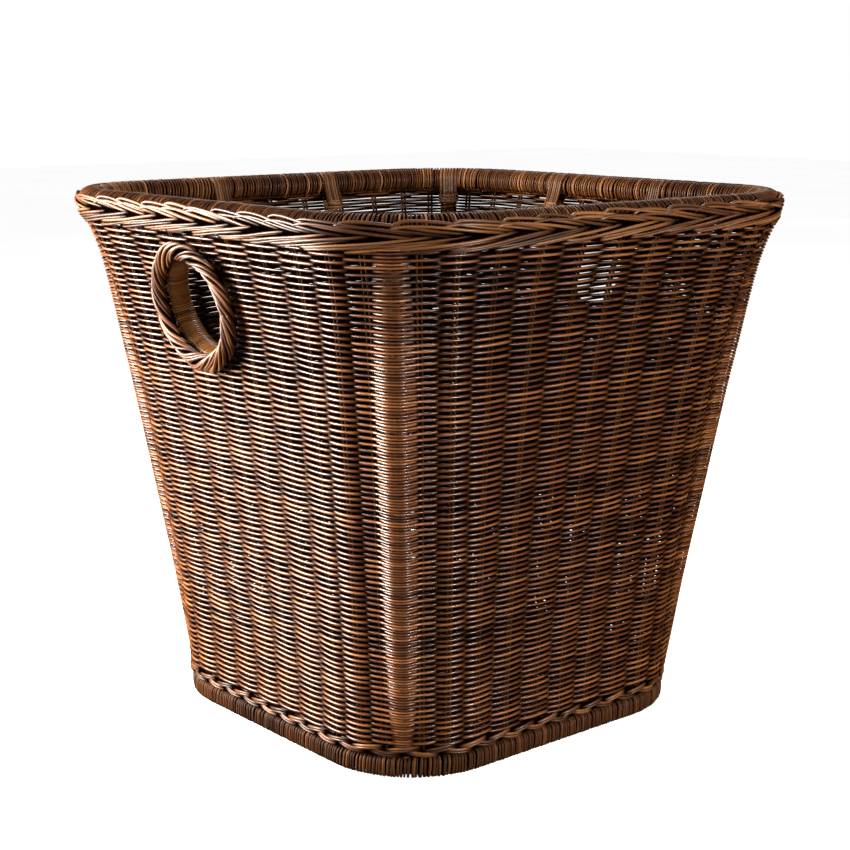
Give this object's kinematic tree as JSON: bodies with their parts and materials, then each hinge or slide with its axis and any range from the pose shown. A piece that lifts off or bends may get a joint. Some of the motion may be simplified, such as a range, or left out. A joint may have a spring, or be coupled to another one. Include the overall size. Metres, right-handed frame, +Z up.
{
  "type": "wastebasket",
  "caption": "Open-topped woven rattan wastebasket: square with rounded corners, flaring towards a cane-bound rim, with round rope-edged hand holes and a bound foot ring.",
  "frame": {"origin": "centre of the footprint on the floor", "axes": "+Z up, -Y out through the front wall, which has the hand hole seen in the picture, and +X out through the right wall"},
  "size_m": [0.36, 0.36, 0.3319],
  "materials": {
    "weave": "varnished round reed, close plain weave",
    "border": "varnished twisted and plaited reed",
    "rim_cane": "glossy varnished cane winding",
    "foot_cane": "varnished cane winding, worn where it meets the floor",
    "pole": "varnished rattan pole",
    "tie": "varnished flat cane",
    "handle": "varnished plaited reed",
    "base": "varnished plain-woven reed"
  },
  "bodies": {
    "root": {"right_woven_wall": "weave", "back_woven_wall": "weave", "left_woven_wall": "weave", "front_woven_wall": "weave", "right_post_first": "pole", "right_post_second": "pole", "right_back_corner_post": "pole", "back_post_first": "pole", "back_post_second": "pole", "left_back_corner_post": "pole", "left_post_first": "pole", "left_post_second": "pole", "left_front_corner_post": "pole", "front_post_first": "pole", "front_post_second": "pole", "right_front_corner_post": "pole", "right_tie_first": "tie", "right_tie_second": "tie", "right_back_corner_tie": "tie", "back_tie_first": "tie", "back_tie_second": "tie", "left_back_corner_tie": "tie", "left_tie_first": "tie", "left_tie_second": "tie", "left_front_corner_tie": "tie", "front_tie_first": "tie", "front_tie_second": "tie", "right_front_corner_tie": "tie", "rim_pole": "pole", "rim_binding": "rim_cane", "rim_border": "border", "foot_hoop": "pole", "foot_binding": "foot_cane", "foot_wale": "border", "front_handle_braid": "handle", "front_handle_hoop": "tie", "back_handle_braid": "handle", "back_handle_hoop": "tie", "base_panel": "base", "base_bar_left": "pole", "base_bar_right": "pole"}
  },
  "joints": []
}
